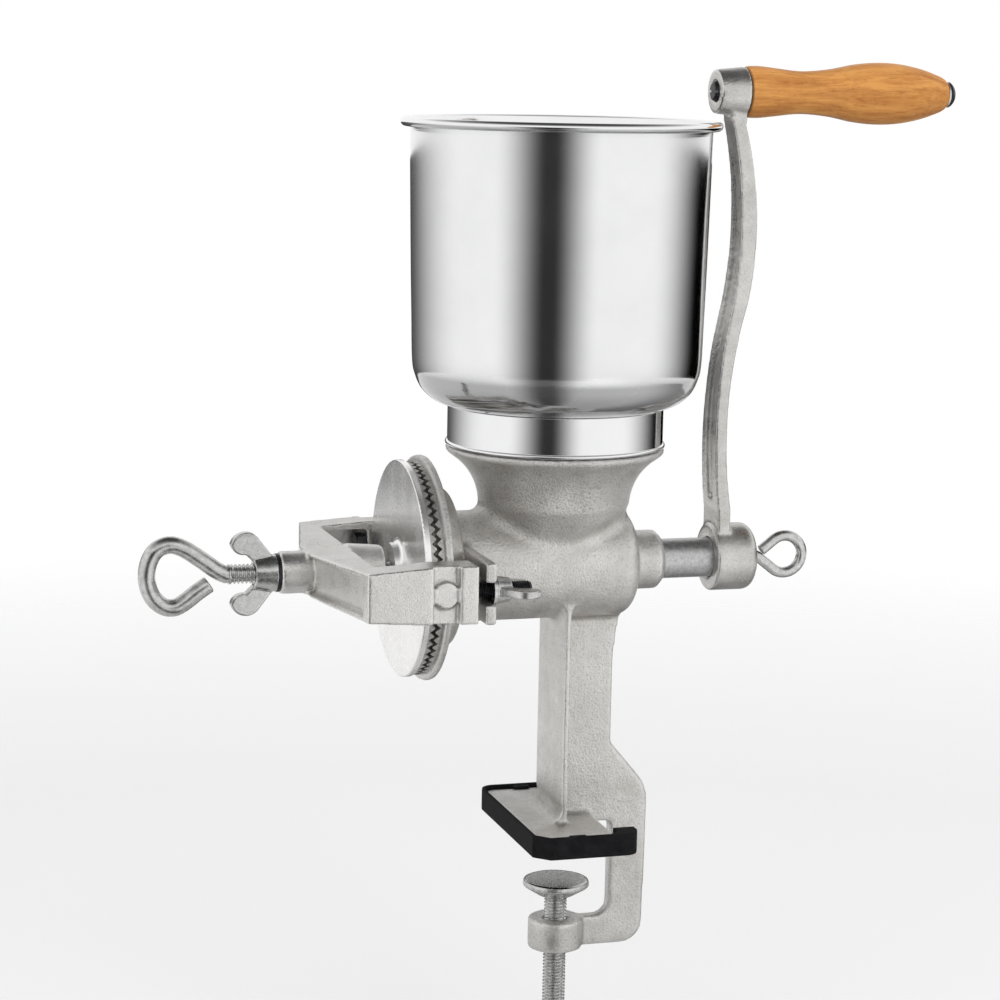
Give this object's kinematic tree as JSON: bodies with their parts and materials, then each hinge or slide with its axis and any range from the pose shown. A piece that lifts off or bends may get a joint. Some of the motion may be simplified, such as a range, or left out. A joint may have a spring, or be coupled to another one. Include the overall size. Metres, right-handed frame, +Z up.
{
  "type": "hand grain mill",
  "caption": "Clamp-on hand grain mill with polished hopper, feed worm, burr plates in a screw-set yoke, and S-shaped crank with a wooden grip.",
  "frame": {"origin": "centre of the underside of the foot pad, on the axis of the clamp screw", "axes": "+Z up, +X along the shaft towards the crank, +Y to the back of the mill"},
  "size_m": [0.4214, 0.1596, 0.5344],
  "materials": {
    "casting": "tinned, pebbly satin",
    "machined_casting": "turned satin",
    "burr_iron": "sharp as cast teeth",
    "polished_steel": "mirror polished",
    "bright_steel": "bright plated",
    "ground_steel": "ground",
    "black_steel": "black oxide",
    "varnished_wood": "clear varnish",
    "black_rubber": "matt"
  },
  "bodies": {
    "mill": {"mill_body": "casting", "foot_pad": "black_rubber", "fixed_burr": "burr_iron", "fixed_burr_screws": "ground_steel", "yoke": "casting", "yoke_bolts": "black_steel"},
    "hopper": {"hopper_bowl": "polished_steel", "hopper_collar": "polished_steel"},
    "thrust": {"thrust_ball": "ground_steel"},
    "rotor": {"rotor_disc": "machined_casting", "rotating_burr": "burr_iron", "rotating_burr_screws": "ground_steel", "auger": "ground_steel", "drive_pin": "ground_steel", "crank_arm": "casting", "crank_screw": "bright_steel", "handle_bolt": "black_steel", "handle_washer": "bright_steel", "handle_nut": "black_steel"},
    "grip": {"handle_grip": "varnished_wood"},
    "adjuster": {"adjusting_screw": "bright_steel"},
    "lock_ring": {"lock_washer": "black_steel"},
    "lock_wing": {"lock_nut": "bright_steel"},
    "front_ring": {"yoke_washer_front": "bright_steel"},
    "front_wing": {"yoke_nut_front": "bright_steel"},
    "rear_ring": {"yoke_washer_rear": "bright_steel"},
    "rear_wing": {"yoke_nut_rear": "bright_steel"},
    "clamp_cup": {"clamp_pad": "bright_steel"},
    "clamp_spindle": {"clamp_screw": "bright_steel"}
  },
  "joints": [
    {"name": "grind_gap", "type": "slide", "parent": "mill", "child": "thrust", "axis": [1, 0, 0], "range_m": [-0.003, 0.0005]},
    {"name": "crank_turn", "type": "hinge", "parent": "thrust", "child": "rotor", "pos_m": [0, 0, 0.14], "axis": [1, 0, 0], "continuous": true},
    {"name": "grip_spin", "type": "hinge", "parent": "rotor", "child": "grip", "pos_m": [0, 0, 0.3765], "axis": [1, 0, 0], "continuous": true},
    {"name": "adjuster_turn", "type": "hinge", "parent": "thrust", "child": "adjuster", "pos_m": [-0.1, 0, 0.14], "axis": [1, 0, 0], "range_deg": [-545, 95]},
    {"name": "lock_travel", "type": "slide", "parent": "mill", "child": "lock_ring", "axis": [-1, 0, 0], "range_m": [0, 0.003]},
    {"name": "lock_turn", "type": "hinge", "parent": "lock_ring", "child": "lock_wing", "pos_m": [-0.15, 0, 0.14], "axis": [1, 0, 0], "range_deg": [-545, 5]},
    {"name": "front_nut_travel", "type": "slide", "parent": "mill", "child": "front_ring", "axis": [1, 0, 0], "range_m": [0, 0.003]},
    {"name": "front_nut_turn", "type": "hinge", "parent": "front_ring", "child": "front_wing", "pos_m": [-0.05, -0.0625, 0.14], "axis": [1, 0, 0], "range_deg": [-5, 869]},
    {"name": "rear_nut_travel", "type": "slide", "parent": "mill", "child": "rear_ring", "axis": [1, 0, 0], "range_m": [0, 0.003]},
    {"name": "rear_nut_turn", "type": "hinge", "parent": "rear_ring", "child": "rear_wing", "pos_m": [-0.05, 0.0625, 0.14], "axis": [1, 0, 0], "range_deg": [-5, 869]},
    {"name": "clamp_travel", "type": "slide", "parent": "mill", "child": "clamp_cup", "axis": [0, 0, 1], "range_m": [-0.01, 0.025]},
    {"name": "clamp_turn", "type": "hinge", "parent": "clamp_cup", "child": "clamp_spindle", "pos_m": [0, 0, -0.05], "axis": [0, 0, 1], "range_deg": [-2100, 5200]},
    {"name": "hopper_lift", "type": "slide", "parent": "mill", "child": "hopper", "axis": [0, 0, 1], "range_m": [0, 0.008]}
  ],
  "couplings": [
    {"joint": "adjuster_turn", "follows": "grind_gap", "rad_per_m": 3141.6},
    {"joint": "lock_turn", "follows": "lock_travel", "rad_per_m": -3141.6},
    {"joint": "front_nut_turn", "follows": "front_nut_travel", "rad_per_m": 5026.5},
    {"joint": "rear_nut_turn", "follows": "rear_nut_travel", "rad_per_m": 5026.5},
    {"joint": "clamp_turn", "follows": "clamp_travel", "rad_per_m": 3590.4}
  ]
}
